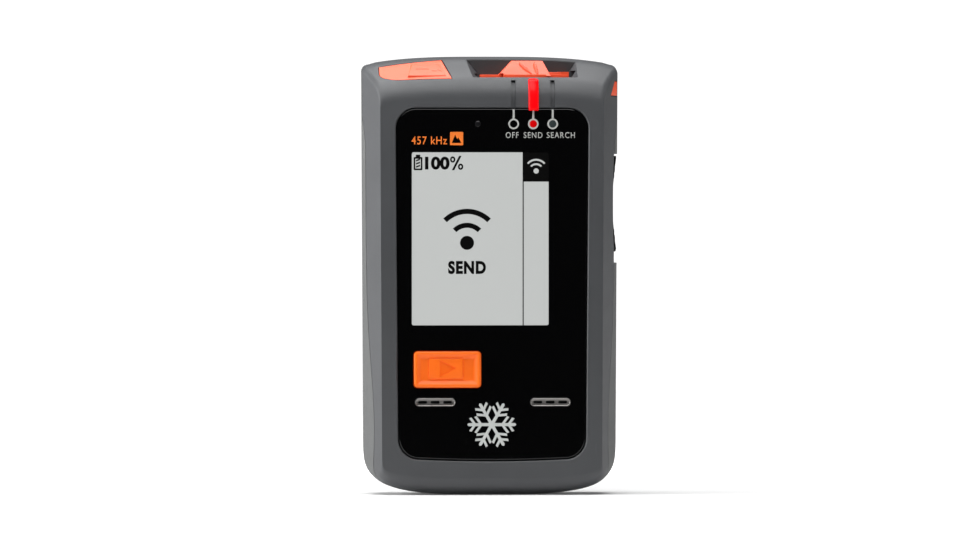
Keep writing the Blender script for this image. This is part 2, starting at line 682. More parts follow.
def shoulder_plane(height_drop, along_normal):
    """The plane of a plate on the shoulder: u runs along X, v up the slope from height_drop below the top."""
    foot = CASE_HEIGHT - SHOULDER_DROP
    z = CASE_HEIGHT - height_drop
    origin = Vector((0, FRONT_Y + (z - foot) / math.tan(SHOULDER_ANGLE), z)) + SHOULDER_NORMAL * along_normal
    turn = Matrix((Vector((1, 0, 0)), SHOULDER_UP, SHOULDER_NORMAL)).transposed()
    return Matrix.Translation(origin) @ turn.to_4x4()


# ---- the mode switch's well and the pieces in it ------------------------------------------------
WELL_FLOOR_Z = CASE_HEIGHT - WELL_FLOOR_DROP
WELL_LIP_Z = CASE_HEIGHT - WELL_LIP_DROP
WELL_BACK_Y = FRONT_Y + WELL_BACK_DEPTH
SLIDER_Z = (WELL_FLOOR_Z + GAP, WELL_FLOOR_Z + GAP + SLIDER_PLATE)
TONGUE_Y = FRONT_Y + SLIDER_TONGUE_DEPTH
WING_Y = FRONT_Y + SLIDER_WING_DEPTH
STEP_FRONT_Y = WING_Y + 0.1 * MM
SLIDER_BACK_Y = WELL_BACK_Y - GAP
LEG_Y = (WING_Y + 0.3 * MM, WING_Y + 0.3 * MM + CARRIAGE_LEG[1])
CARRIAGE_TOP_Z = WELL_FLOOR_Z - WELL_WALL - GAP
CARRIAGE_Y = ((LEG_Y[0] + LEG_Y[1] - CARRIAGE_SIZE[1]) / 2, (LEG_Y[0] + LEG_Y[1] + CARRIAGE_SIZE[1]) / 2)


def tapered_block(name, floor_x, top_x, floor_z, top_z, front_y, back_y, finish=None):
    """A block whose ends lean, seen from the front: floor_x at floor_z leans to top_x at top_z."""
    loop = [(floor_x[0], floor_z), (floor_x[1], floor_z), (top_x[1], top_z), (top_x[0], top_z)]
    return plate(name, [loop], back_y - front_y, facing_front((front_y + back_y) / 2), finish)


def well_space(name, grow):
    """The well for the mode slider, open to the front and the top, grown outwards by grow: a tapered funnel
    over a flat pocket. Its side walls splay towards the front."""
    beyond = 4 * MM
    rise = (WELL_LIP_DROP + beyond + grow) / WELL_LIP_DROP
    run = (beyond + WELL_MOUTH_DEPTH) / (WELL_BACK_DEPTH - WELL_MOUTH_DEPTH)
    back_y = WELL_BACK_Y + grow
    corners = []
    for side, out in ((0, -grow), (1, grow)):
        far_floor, far_top, mouth = WELL_FLOOR_X[side] + out, WELL_TOP_X[side] + out, WELL_LIP_X[side] + out
        near_floor = mouth + (mouth - far_floor) * run
        far_high = far_floor + (far_top - far_floor) * rise
        near_high = near_floor + (far_high - near_floor)
        corners.append([(near_floor, FRONT_Y - beyond, WELL_LIP_Z - grow),
                        (far_floor, back_y, WELL_LIP_Z - grow),
                        (far_high, back_y, CASE_HEIGHT + beyond),
                        (near_high, FRONT_Y - beyond, CASE_HEIGHT + beyond)])
    build = bmesh.new()
    left, right = ([build.verts.new(corner) for corner in side] for side in corners)
    build.faces.new(left)
    build.faces.new(right)
    for i in range(4):
        build.faces.new((left[i], left[(i + 1) % 4], right[(i + 1) % 4], right[i]))
    bmesh.ops.triangulate(build, faces=build.faces)
    bmesh.ops.recalc_face_normals(build, faces=build.faces)
    funnel = from_bmesh(build, name)
    inset = 0.1 * MM
    pocket = box(name + "_pocket", (WELL_FLOOR_X[0] - grow + inset, TONGUE_Y - GAP - grow,
                                    WELL_FLOOR_Z - grow),
                 (WELL_FLOOR_X[1] + grow - inset, back_y - inset, WELL_LIP_Z + 0.6 * MM))
    join(funnel, pocket)
    return funnel


def slider_slots():
    """Cutters for the slots that the slider's plate, its raised step and its leg run in."""
    run = SWITCH_PITCH + GAP
    plate_slot = box("slider_plate_slot", (SLIDER_PLATE_X[0] - run, WING_Y - GAP, SLIDER_Z[0] - SIDE_GAP),
                     (SLIDER_PLATE_X[1] + run, SLIDER_BACK_Y + SIDE_GAP / 2, SLIDER_Z[1] + GAP))
    half = CARRIAGE_LEG[0] / 2 + run
    step_slot = box("slider_step_slot", (SLIDER_STEP_X[0], STEP_FRONT_Y - GAP, SLIDER_Z[1]),
                    (SLIDER_STEP_X[1] + run, SLIDER_BACK_Y, SLIDER_Z[1] + SLIDER_STEP_HEIGHT + GAP))
    leg_slot = box("slider_leg_slot", (SWITCH_X - half, LEG_Y[0] - GAP, WELL_FLOOR_Z - 3 * WELL_WALL),
                   (SWITCH_X + half, LEG_Y[1] + GAP, WELL_FLOOR_Z + GAP))
    return plate_slot, step_slot, leg_slot


def pointer_space(name, outer_inset, inner_inset, z_low, z_high):
    """A strip of skin in front of the case, between two offsets of its surface, as wide as the pointer."""
    low = (SWITCH_X - POINTER_WIDTH / 2, FRONT_Y - 5 * MM, z_low)
    high = (SWITCH_X + POINTER_WIDTH / 2, TONGUE_Y - GAP, z_high)
    strip = box(name, low, high)
    keep_inside(strip, case_solid(name + "_outer", outer_inset))
    cut(strip, case_solid(name + "_inner", inner_inset))
    return strip


def build_mode_switch():
    slider = box("mode_slider", (SLIDER_PLATE_X[0], WING_Y, SLIDER_Z[0]),
                 (SLIDER_PLATE_X[1], SLIDER_BACK_Y, SLIDER_Z[1]),
                 ORANGE_PLASTIC)
    sunk = 0.5 * MM
    tongue = box("slider_tongue", (SLIDER_TONGUE_X[0], TONGUE_Y, SLIDER_Z[0]),
                 (SLIDER_TONGUE_X[1], WING_Y + sunk, SLIDER_Z[1]))
    grip = tapered_block("slider_grip", SLIDER_GRIP_BASE_X, SLIDER_GRIP_TOP_X, SLIDER_Z[1] - sunk,
                         SLIDER_Z[1] + SLIDER_GRIP_HEIGHT, TONGUE_Y, SLIDER_BACK_Y - GAP)
    slope = box("slider_grip_slope", (-CASE_WIDTH, 0, 0), (CASE_WIDTH, 20 * MM, 20 * MM))
    slope_foot = Vector((0, TONGUE_Y + 0.4 * MM, SLIDER_Z[1]))
    slope.matrix_world = (Matrix.Translation(slope_foot) @ Matrix.Rotation(SLIDER_GRIP_SLOPE, 4, "X")
                          @ Matrix.Translation((0, 0, 10 * MM)))
    wings_clear = box("grip_underside", (-CASE_WIDTH, TONGUE_Y - MM, SLIDER_Z[1] - 2 * sunk),
                      (SLIDER_TONGUE_X[0], WING_Y, SLIDER_Z[1] + 0.3 * MM))
    cut(grip, slope, wings_clear)
    step = box("slider_step", (SLIDER_STEP_X[0] - sunk, STEP_FRONT_Y, SLIDER_Z[1] - sunk),
               (SLIDER_STEP_X[1], SLIDER_BACK_Y - GAP, SLIDER_Z[1] + SLIDER_STEP_HEIGHT))
    leg = box("slider_leg", (SWITCH_X - CARRIAGE_LEG[0] / 2, LEG_Y[0], CARRIAGE_TOP_Z + GAP),
              (SWITCH_X + CARRIAGE_LEG[0] / 2, LEG_Y[1], SLIDER_Z[0] + sunk))
    join(slider, tongue, grip, step, leg)

    carriage = box("slider_carriage", (SWITCH_X - CARRIAGE_SIZE[0] / 2, CARRIAGE_Y[0],
                                       CARRIAGE_TOP_Z - CARRIAGE_SIZE[2]),
                   (SWITCH_X + CARRIAGE_SIZE[0] / 2, CARRIAGE_Y[1], CARRIAGE_TOP_Z), BLACK_PLASTIC)
    notch = 0.5 * MM
    for side in (-1, 0, 1):
        middle = Vector((SWITCH_X + side * SWITCH_PITCH * 0.6, 0, CARRIAGE_TOP_Z - CARRIAGE_SIZE[2]))
        cut(carriage, cylinder(f"detent_notch_{side + 2}", notch, middle + Vector((0, CARRIAGE_Y[0] - MM, 0)),
                               middle + Vector((0, CARRIAGE_Y[1] + MM, 0)), sides=8))
    magnet_x = SWITCH_X - CARRIAGE_SIZE[0] / 4
    cut(carriage, cylinder("magnet_hole", MAGNET_RADIUS + GAP / 2,
                           (magnet_x, CARRIAGE_Y[0] - MM, CARRIAGE_TOP_Z - CARRIAGE_SIZE[2] / 2),
                           (magnet_x, CARRIAGE_Y[0] + 2.2 * MM, CARRIAGE_TOP_Z - CARRIAGE_SIZE[2] / 2),
                           sides=16))
    cylinder("slider_magnet", MAGNET_RADIUS,
             (magnet_x, CARRIAGE_Y[0] + 0.1 * MM, CARRIAGE_TOP_Z - CARRIAGE_SIZE[2] / 2),
             (magnet_x, CARRIAGE_Y[0] + 1.9 * MM, CARRIAGE_TOP_Z - CARRIAGE_SIZE[2] / 2), NICKEL, sides=16)

    pointer = pointer_space("slider_pointer", -POINTER_PROUD, -POINTER_CLEARANCE,
                            WELL_LIP_Z - POINTER_LENGTH, SLIDER_Z[1])
    join(pointer, box("pointer_tab", (SWITCH_X - POINTER_WIDTH / 2, FRONT_Y + 1.3 * MM,
                                      WELL_LIP_Z + POINTER_CLEARANCE),
                      (SWITCH_X + POINTER_WIDTH / 2, TONGUE_Y - GAP, SLIDER_Z[1])))
    place(pointer, "slider_pointer", RED_CLEAR)

    spring_z = CARRIAGE_TOP_Z - CARRIAGE_SIZE[2] - 0.25 * MM
    bump, flat, thick = 0.55 * MM, 5.5 * MM, 0.25 * MM
    top = [(-flat, -bump), (-1.4 * MM, -bump), (0, 0), (1.4 * MM, -bump), (flat, -bump)]
    strip = [(SWITCH_X + u, spring_z + v) for u, v in top]
    under = [(x, z - thick) for x, z in reversed(strip)]
    plate("detent_spring", [strip + under], 2.4 * MM, facing_front((CARRIAGE_Y[0] + CARRIAGE_Y[1]) / 2),
          STEEL)


# ---- shells -------------------------------------------------------------------------------------
POST_MEET_Y = FRONT_Y + POST_MEETS_DEPTH


def screw_places():
    x = CASE_WIDTH / 2 - CASE_SCREW_FROM_SIDE
    heights = (CASE_SCREW_FROM_BOTTOM, CASE_HEIGHT - CASE_SCREW_FROM_TOP)
    return [(side * x, z) for z in heights for side in (-1, 1)]


def mark_grooves():
    """Cutters for the two shallow grooves in the bezel at the outer switch positions."""
    made = []
    for side in (-1, 1):
        x = SWITCH_X + side * SWITCH_PITCH
        groove = box(f"mark_groove_{'left' if side < 0 else 'right'}",
                     (x - MARK_WIDTH / 2, FRONT_Y - 2 * MM, WINDOW_TOP_Z - MM),
                     (x + MARK_WIDTH / 2, FRONT_Y + 6 * MM, WELL_LIP_Z - 0.8 * MM))
        cut(groove, case_solid(groove.name + "_floor", MARK_DEPTH))
        made.append(groove)
    return made


def lock_outline(grow=0.0):
    """The lock button's edge on the shoulder, (x, up the slope): one end leans and one corner is round."""
    length = (LOCK_BOTTOM_DROP - LOCK_TOP_DROP) / math.sin(SHOULDER_ANGLE)
    lean = 2.0 * MM
    left, right = LOCK_X[0] - grow, LOCK_X[1] + grow
    low, high = -grow, length + grow
    radius = 3.6 * MM + grow
    points = [(right, low), (right - lean, high), (left, high)]
    for step in range(5):
        angle = math.radians(180 + 90 * step / 4)
        points.append((left + 2 * radius + 2 * radius * math.cos(angle) * 0.8 - 0.4 * radius,
                       low + radius + radius * math.sin(angle)))
    return points


def side_button_outline(grow=0.0):
    low, high = grown((SIDE_BUTTON_Y[0], SIDE_BUTTON_Z[0]), (SIDE_BUTTON_Y[1], SIDE_BUTTON_Z[1]), grow)
    return rounded_rectangle(low, high, 0.8 * MM, 2)


def rocker_outline(grow=0.0):
    low, high = grown((ROCKER_Y[0], ROCKER_Z[0]), (ROCKER_Y[1], ROCKER_Z[1]), grow)
    return rounded_rectangle(low, high, ROCKER_CORNER, 4)


def side_cutters(tag):
    """Cutters for the right-hand side of both shells: two windows, the scoop and the lanyard notch."""
    reach = 12 * MM
    middle = CASE_WIDTH / 2
    button = plate("side_button_window_" + tag, [side_button_outline(SIDE_GAP)], reach, facing_right(middle))
    rocker = plate("rocker_window_" + tag, [rocker_outline(SIDE_GAP)], reach, facing_right(middle))
    centre_z = sum(ROCKER_Z) / 2
    centre_x = CASE_WIDTH / 2 - SIDE_TAPER * 0.35 - SCOOP_DEPTH + SCOOP_RADIUS
    scoop = cylinder("grip_scoop_" + tag, SCOOP_RADIUS, (centre_x, BACK_Y, centre_z),
                     (centre_x, FRONT_Y - 2 * MM, centre_z),
                     sides=96)
    notch = box("lanyard_notch_" + tag, (CASE_WIDTH / 2 - LANYARD_NOTCH_DEPTH - SIDE_TAPER * 0.5,
                                         FRONT_Y + 6 * MM, LANYARD_NOTCH_Z[0]),
                (CASE_WIDTH / 2 + 5 * MM, LANYARD_POCKET_Y[1] - MM, LANYARD_NOTCH_Z[1]))
    return scoop, button, rocker, notch


def build_front_housing():
    shell = place(case_solid("front_housing"), "front_housing", CASE_PLASTIC)
    keep_inside(shell, parting_slab("front_space", None, -PARTING_HALF_GAP))

    hollow = case_solid("front_hollow", WALL)
    seat = plate("window_seat", [window_outline(1.5 * MM)], LEDGE_BACK_Y - FRONT_Y,
                 facing_front((FRONT_Y + LEDGE_BACK_Y) / 2))
    cut(hollow, seat, well_space("well_walls", WELL_WALL))
    cut(shell, hollow)
    for index, (x, z) in enumerate(screw_places()):
        join(shell, cylinder(f"front_post_{index + 1}", POST_RADIUS, (x, FRONT_Y + WALL - 0.6 * MM, z),
                             (x, POST_MEET_Y, z)))

    cut(shell, gasket_groove("front", -GASKET_THICKNESS / 2 - GAP, GASKET_THICKNESS))
    recess = plate("window_recess", [window_outline(GAP)], 2 * (LEDGE_FRONT_Y - FRONT_Y),
                   facing_front(FRONT_Y))
    opening = plate("window_opening", [window_outline(-WINDOW_LEDGE)],
                    2 * (LEDGE_BACK_Y - FRONT_Y + 0.5 * MM), facing_front(FRONT_Y))
    cut(shell, recess, opening, well_space("well", 0), *slider_slots(), *mark_grooves())

    lock_hole = plate("lock_window", [lock_outline(SIDE_GAP)], 16 * MM, shoulder_plane(LOCK_BOTTOM_DROP, 0))
    cut(shell, lock_hole, *side_cutters("front"))
    for index, (x, z) in enumerate(screw_places()):
        cut(shell, cylinder(f"screw_pilot_{index + 1}", CASE_SCREW_SHANK + GAP / 2,
                            (x, POST_MEET_Y - CASE_SCREW_BITE - MM, z), (x, BACK_Y, z), sides=12))
    return shell


def build_rear_housing():
    shell = place(case_solid("rear_housing"), "rear_housing", CASE_PLASTIC)
    keep_inside(shell, parting_slab("rear_space", PARTING_HALF_GAP, None))

    hollow = case_solid("rear_hollow", WALL)
    cut(hollow, box("bay_tub", (-BAY_HALF_WIDTH - BAY_WALL, BAY_FLOOR_Y - BAY_WALL, BAY_BOTTOM_Z - BAY_WALL),
                    (BAY_HALF_WIDTH + BAY_WALL, BACK_Y, BAY_TOP_Z + BAY_WALL)))
    rim = DOOR_FRONT_Y - GAP - 1.6 * MM
    cut(hollow, box("door_rim", (DOOR_LOW[0] - MM, rim, DOOR_LOW[1] - MM),
                    (DOOR_HIGH[0] + MM, BACK_Y, DOOR_HIGH[1] + MM)))
    cut(hollow, cylinder("insert_boss", INSERT_RADIUS + BAY_WALL,
                         (0, DOOR_FRONT_Y - INSERT_LENGTH - 3 * MM, COIN_SCREW_Z),
                         (0, BACK_Y, COIN_SCREW_Z)))
    for index, (x, z) in enumerate(screw_places()):
        cut(hollow, cylinder(f"rear_post_{index + 1}", POST_RADIUS, (x, POST_MEET_Y + GAP, z),
                             (x, BACK_Y, z)))
    wall = LANYARD_WALL
    cut(hollow, box("lanyard_block", (CASE_WIDTH / 2 - LANYARD_POCKET_DEPTH - wall,
                                      LANYARD_POCKET_Y[0] - wall - MM,
                                      LANYARD_POCKET_Z[0] - wall),
                    (CASE_WIDTH, LANYARD_POCKET_Y[1] + wall + MM, LANYARD_POCKET_Z[1] + wall)))
    pin_x, pin_z = rocker_axis()
    cut(hollow, box("rocker_boss", (pin_x - ROCKER_BOSS, ROCKER_Y[0] - ROCKER_BOSS, pin_z - ROCKER_BOSS),
                    (CASE_WIDTH, ROCKER_Y[1] + ROCKER_BOSS, pin_z + ROCKER_BOSS)))
    cut(hollow, lock_spring_post())
    cut(shell, hollow)

    cut(shell, gasket_groove("rear", -GASKET_THICKNESS, GASKET_THICKNESS / 2 + GAP))
    cut(shell, box("bay", (-BAY_HALF_WIDTH, BAY_FLOOR_Y, BAY_BOTTOM_Z),
                   (BAY_HALF_WIDTH, BACK_Y + 5 * MM, BAY_TOP_Z)))
    low, high = grown(DOOR_LOW, DOOR_HIGH, GAP)
    cut(shell, plate("door_recess", [rounded_rectangle(low, high, DOOR_CORNER + GAP)],
                     2 * (DOOR_THICKNESS + GAP),
                     facing_front(BACK_Y)))
    for x in (-DOOR_TAB_X, DOOR_TAB_X):
        tab_low, tab_high = door_tab_box(x)
        swing = math.hypot(DOOR_TAB[1], DOOR_THICKNESS) - DOOR_THICKNESS
        cut(shell, box(f"tab_pocket_{'left' if x < 0 else 'right'}",
                       (tab_low[0] - GAP, tab_low[1] - swing - GAP, tab_low[2] - GAP),
                       (tab_high[0] + GAP, tab_high[1] + GAP, DOOR_LOW[1] + DOOR_TAB[1])))
    cut(shell, cylinder("insert_bore", INSERT_RADIUS + GAP / 2,
                        (0, DOOR_FRONT_Y - INSERT_LENGTH - 2 * MM, COIN_SCREW_Z),
                        (0, BACK_Y, COIN_SCREW_Z)))
    cut(shell, *side_cutters("rear"))
    for index, (x, z) in enumerate(screw_places()):
        head_radius, head_height = CASE_SCREW_HEAD
        cut(shell, cylinder(f"screw_clearance_{index + 1}", CASE_SCREW_SHANK + GAP,
                            (x, FRONT_Y - 5 * MM, z), (x, BACK_Y + MM, z), sides=12))
        cut(shell, cylinder(f"screw_head_bore_{index + 1}", head_radius + GAP,
                            (x, BACK_Y - head_height - CASE_SCREW_SUNK, z), (x, BACK_Y + MM, z)))
    cut(shell, box("lanyard_pocket", (CASE_WIDTH / 2 - LANYARD_POCKET_DEPTH, LANYARD_POCKET_Y[0],
                                      LANYARD_POCKET_Z[0]),
                   (CASE_WIDTH, LANYARD_POCKET_Y[1], LANYARD_POCKET_Z[1])))
    cut(shell, cylinder("lanyard_pin_bore", LANYARD_PIN_RADIUS + GAP / 2, *lanyard_pin_ends(GAP), sides=16),
        cylinder("rocker_pin_bore_rear", ROCKER_PIN_RADIUS + GAP / 2, *rocker_pin_ends(GAP), sides=16))
    return shell


def lanyard_pin_ends(grow=0.0):
    """The ends of the bar that a lanyard loops round, across its pocket."""
    x = CASE_WIDTH / 2 - LANYARD_POCKET_DEPTH / 2 - 0.6 * MM
    z = sum(LANYARD_POCKET_Z) / 2
    beyond = LANYARD_PIN_BURIED + grow
    return (x, LANYARD_POCKET_Y[0] - beyond, z), (x, LANYARD_POCKET_Y[1] + beyond, z)


def rocker_axis():
    return CASE_WIDTH / 2 - ROCKER_PIN_DEPTH, sum(ROCKER_Z) / 2


def rocker_pin_ends(grow=0.0):
    x, z = rocker_axis()
    beyond = ROCKER_PIN_BURIED + SIDE_GAP + grow
    return (x, ROCKER_Y[0] - beyond, z), (x, ROCKER_Y[1] + beyond, z)


def lock_frame(depth):
    """The plane under the middle of the lock button, at a depth below the shoulder."""
    length = (LOCK_BOTTOM_DROP - LOCK_TOP_DROP) / math.sin(SHOULDER_ANGLE)
    return shoulder_plane(LOCK_BOTTOM_DROP, -depth) @ Matrix.Translation((sum(LOCK_X) / 2, length / 2, 0))


def lock_spring_post():
    """The rear shell's post under the lock button's spring, with its end cut square to the spring."""
    seat = lock_frame(LOCK_THICKNESS + LOCK_SPRING_LENGTH + 3 * GAP)
    middle = seat.translation
    reach = 4 * LOCK_POST_RADIUS
    post = cylinder("lock_spring_post", LOCK_POST_RADIUS, middle - Vector((0, reach, 0)),
                    (middle.x, BACK_Y, middle.z))
    above = box("lock_spring_room", (-reach, -reach, 0), (reach, reach, 2 * reach))
    above.matrix_world = seat @ Matrix.Translation((0, 0, reach))
    cut(post, above)
    return post


def build_gasket():
    """The seal between the shells: a ring that follows the parting line inside the wall."""
    ring = parting_slab("housing_gasket", -GASKET_THICKNESS / 2, GASKET_THICKNESS / 2)
    keep_inside(ring, case_solid("gasket_outer_edge", GASKET_INSET))
    cut(ring, case_solid("gasket_inner_edge", GASKET_INSET + GASKET_WIDTH))
    place(ring, "housing_gasket", SEAL_RUBBER)


# ---- front pieces -------------------------------------------------------------------------------
def pill(centre, size, grow=0.0, steps=6):
    low, high = grown(*centred(centre, size), grow)
    return rounded_rectangle(low, high, (high[1] - low[1]) / 2 - 0.01 * MM, steps)


def build_window():
    low, high = centred(BUTTON_CENTRE, BUTTON_SIZE)
    holes = [rounded_rectangle(*grown(low, high, SIDE_GAP), BUTTON_CORNER + SIDE_GAP)]
    holes += [pill((x, GRILLE_Z), GRILLE_SIZE, SIDE_GAP) for x in GRILLE_X]
    window = plate("display_window", [window_outline()] + holes, WINDOW_THICKNESS,
                   facing_front((WINDOW_FRONT_Y + WINDOW_BACK_Y) / 2), BLACK_GLASS)
    plate("window_gasket", [window_outline(-0.4 * MM), window_outline(GAP - WINDOW_LEDGE)],
          WINDOW_SEAL_THICKNESS,
          facing_front(SEAL_FRONT_Y + WINDOW_SEAL_THICKNESS / 2), SEAL_RUBBER)
    return window


def build_display():
    low = (LCD_LEFT_X, LCD_TOP_Z - LCD_HEIGHT)
    high = (LCD_LEFT_X + LCD_WIDTH, LCD_TOP_Z)
    box("lcd_panel", (low[0], LCD_FRONT_Y, low[1]), (high[0], LCD_BACK_Y, high[1]), LCD_GLASS)
    box("backlight", (low[0], LCD_BACK_Y + GAP, low[1]), (high[0], BACKLIGHT_BACK_Y, high[1]), WHITE_PLASTIC)
    inner = grown(low, high, GAP)
    outer = grown(*inner, FRAME_RIM)
    front, back = LCD_FRONT_Y + GAP, BACKLIGHT_BACK_Y
    plate("display_frame", [rounded_rectangle(*outer, 1.2 * MM, 3), rounded_rectangle(*inner, 0.3 * MM, 1)],
          back - front, facing_front((front + back) / 2), BLACK_PLASTIC)


def build_main_board():
    low, high = (-BOARD_WIDTH / 2, BOARD_BOTTOM_Z), (BOARD_WIDTH / 2, BOARD_TOP_Z)
    plate("main_board", [rounded_rectangle(low, high, BOARD_CORNER)], BOARD_THICKNESS,
          facing_front((BOARD_FRONT_Y + BOARD_BACK_Y) / 2), BOARD_GREEN)
    for name, x, finish in (("send_light_guide", SWITCH_X, RED_CLEAR),
                            ("search_light_guide", SWITCH_X + SWITCH_PITCH, WHITE_PLASTIC)):
        cylinder(name, LIGHT_GUIDE_RADIUS, (x, LCD_FRONT_Y, INDICATOR_Z),
                 (x, BOARD_FRONT_Y - GAP, INDICATOR_Z), finish, sides=16)
    half = 1.3 * MM
    box("light_sensor", (LIGHT_SENSOR_X - half, LCD_FRONT_Y + GAP, INDICATOR_Z - half),
        (LIGHT_SENSOR_X + half, BOARD_FRONT_Y - GAP, INDICATOR_Z + half), BLACK_PLASTIC, bevel=0.2 * MM)
    sensor_x = SWITCH_X - CARRIAGE_SIZE[0] / 4
    box("mode_sensor", (sensor_x - 1.5 * MM, BOARD_BACK_Y + GAP, BOARD_TOP_Z - 4 * MM),
        (sensor_x + 1.5 * MM, BOARD_BACK_Y + GAP + 1.1 * MM, BOARD_TOP_Z - MM), BLACK_PLASTIC,
        bevel=0.15 * MM)


def build_main_button():
    low, high = centred(BUTTON_CENTRE, BUTTON_SIZE)
    front = FRONT_Y - BUTTON_PROUD
    flange_front = WINDOW_BACK_Y + GAP
    back = flange_front + BUTTON_FLANGE_THICKNESS
    cap = plate("main_button", [rounded_rectangle(low, high, BUTTON_CORNER)], back - front,
                facing_front((front + back) / 2), ORANGE_PLASTIC)
    flange = plate("button_flange", [rounded_rectangle(*grown(low, high, BUTTON_FLANGE), BUTTON_CORNER)],
                   BUTTON_FLANGE_THICKNESS, facing_front((flange_front + back) / 2))
    dish = plate("button_dish", [rounded_rectangle(*grown(low, high, -BUTTON_DISH_RIM), BUTTON_CORNER)],
                 2 * BUTTON_DISH_DEPTH, facing_front(front))
    pad = box("button_pad", (BUTTON_CENTRE[0] - BUTTON_PAD_SIZE[0] / 2,
                             front + BUTTON_DISH_DEPTH - BUTTON_PAD_HEIGHT,
                             BUTTON_CENTRE[1] - BUTTON_PAD_SIZE[1] / 2),
              (BUTTON_CENTRE[0] + BUTTON_PAD_SIZE[0] / 2, front + BUTTON_DISH_DEPTH + GAP,
               BUTTON_CENTRE[1] + BUTTON_PAD_SIZE[1] / 2))
    cut(cap, dish)
    join(cap, flange, pad)

    switch_front = back + BUTTON_TRAVEL + GAP
    body = 3.0 * MM
    x, z = BUTTON_CENTRE
    switch = box("main_button_switch", (x - body, switch_front + 0.8 * MM, z - body),
                 (x + body, BOARD_FRONT_Y - GAP, z + body),
                 NICKEL, bevel=0.25 * MM)
    join(switch, cylinder("main_switch_plunger", 1.6 * MM, (x, switch_front, z),
                          (x, switch_front + 1.2 * MM, z)))


def build_grilles():
    for side, x in zip(("left", "right"), GRILLE_X):
        slots = [rounded_rectangle(*centred((x + step * GRILLE_SLOT_PITCH, GRILLE_Z), GRILLE_SLOT),
                                   0.3 * MM, 2)
                 for step in (-1, 0, 1)]
        front = WINDOW_FRONT_Y - 0.1 * MM
        plate(f"speaker_grille_{side}", [pill((x, GRILLE_Z), GRILLE_SIZE)] + slots, GRILLE_THICKNESS,
              facing_front(front + GRILLE_THICKNESS / 2), STEEL)
        wide, deep, tall = SPEAKER_SIZE
        box(f"speaker_{side}", (x - wide / 2, WINDOW_BACK_Y + 2 * GAP, GRILLE_Z - tall / 2),
            (x + wide / 2, WINDOW_BACK_Y + 2 * GAP + deep, GRILLE_Z + tall / 2 - 1.2 * MM), BLACK_PLASTIC,
            bevel=0.5 * MM)


# ---- shoulder and side controls -----------------------------------------------------------------
def build_lock_button():
    cap = plate("lock_button", [lock_outline()], 2 * LOCK_THICKNESS, shoulder_plane(LOCK_BOTTOM_DROP, 0),
                ORANGE_PLASTIC)
    keep_inside(cap, case_solid("lock_button_skin"))
    flange_depth = -LOCK_THICKNESS + 0.4 * MM
    flange = plate("lock_flange", [lock_outline(LOCK_FLANGE)], 0.8 * MM,
                   shoulder_plane(LOCK_BOTTOM_DROP, flange_depth))
    keep_inside(flange, case_solid("lock_flange_room", WALL + GAP))
    join(cap, flange)
    frame = lock_frame(LOCK_THICKNESS + GAP)
    turns, per_turn = 4, 9
    count = turns * per_turn
    points = []
    for step in range(count + 1):
        angle = 2 * math.pi * step / per_turn
        points.append(frame @ Vector((LOCK_SPRING_RADIUS * math.cos(angle),
                                      LOCK_SPRING_RADIUS * math.sin(angle),
                                      -LOCK_SPRING_WIRE - LOCK_SPRING_LENGTH * step / count)))
    wire("lock_spring", points, LOCK_SPRING_WIRE, STEEL)


def build_side_controls():
    reach = 2 * SIDE_BUTTON_THICKNESS
    button = plate("side_button", [side_button_outline()], reach, facing_right(CASE_WIDTH / 2),
                   ORANGE_PLASTIC)
    keep_inside(button, case_solid("side_button_skin", SIDE_BUTTON_SUNK))

    rocker = plate("rocker_key", [rocker_outline()], 2 * ROCKER_THICKNESS, facing_right(CASE_WIDTH / 2),
                   DARK_RUBBER)
    pin_x, pin_z = rocker_axis()
    set_origin(rocker, (pin_x, sum(ROCKER_Y) / 2, pin_z))
    keep_inside(rocker, case_solid("rocker_skin"))
    centre_z = sum(ROCKER_Z) / 2
    ends_sag = ((ROCKER_Z[1] - ROCKER_Z[0]) / 2) ** 2 / (2 * ROCKER_SCOOP_RADIUS)
    centre_x = CASE_WIDTH / 2 - SIDE_TAPER * 0.4 - ends_sag + ROCKER_SCOOP_RADIUS
    cut(rocker, cylinder("rocker_scoop", ROCKER_SCOOP_RADIUS, (centre_x, BACK_Y, centre_z),
                         (centre_x, FRONT_Y, centre_z), sides=96))
    cut(rocker, cylinder("rocker_pin_bore", ROCKER_PIN_RADIUS + 0.1 * MM, *rocker_pin_ends(2 * MM), sides=16))
    cylinder("rocker_pin", ROCKER_PIN_RADIUS, *rocker_pin_ends(), STEEL, sides=16)

    low = (SIDE_BUTTON_Y[0] + 0.4 * MM, max(ROCKER_Z[0] + 1.6 * MM, LANYARD_POCKET_Z[1] + LANYARD_WALL + GAP))
    high = (ROCKER_Y[1], SIDE_BUTTON_Z[1] - SIDE_BOARD_TOP_DROP)
    plate("side_board", [rounded_rectangle(low, high, MM, 2)], SIDE_BOARD_THICKNESS,
          facing_right(SIDE_BOARD_X), BOARD_GREEN)
    board_face = SIDE_BOARD_X + SIDE_BOARD_THICKNESS / 2 + GAP
    rocker_back = CASE_WIDTH / 2 - ROCKER_THICKNESS
    middle_y = sum(ROCKER_Y) / 2
    switches = [("rocker_switch_lower", 1.7 * MM, middle_y, ROCKER_Z[0] + 4 * MM, rocker_back - 0.5 * MM),
                ("rocker_switch_upper", 1.7 * MM, middle_y, ROCKER_Z[1] - 4 * MM, rocker_back - 0.5 * MM),
                ("side_button_switch", 1.2 * MM, sum(SIDE_BUTTON_Y) / 2 + WALL - 1.5 * MM, SIDE_BUTTON_Z[0],
                 CASE_WIDTH / 2 - SIDE_BUTTON_THICKNESS - SIDE_BUTTON_TRAVEL - GAP)]
    for name, half, y, z, face in switches:
        body = box(name, (board_face, y - half, z - half), (face - 0.5 * MM, y + half, z + half), NICKEL,
                   bevel=0.15 * MM)
        join(body, cylinder(name + "_plunger", 0.8 * MM, (face - 0.8 * MM, y, z), (face, y, z), sides=12))


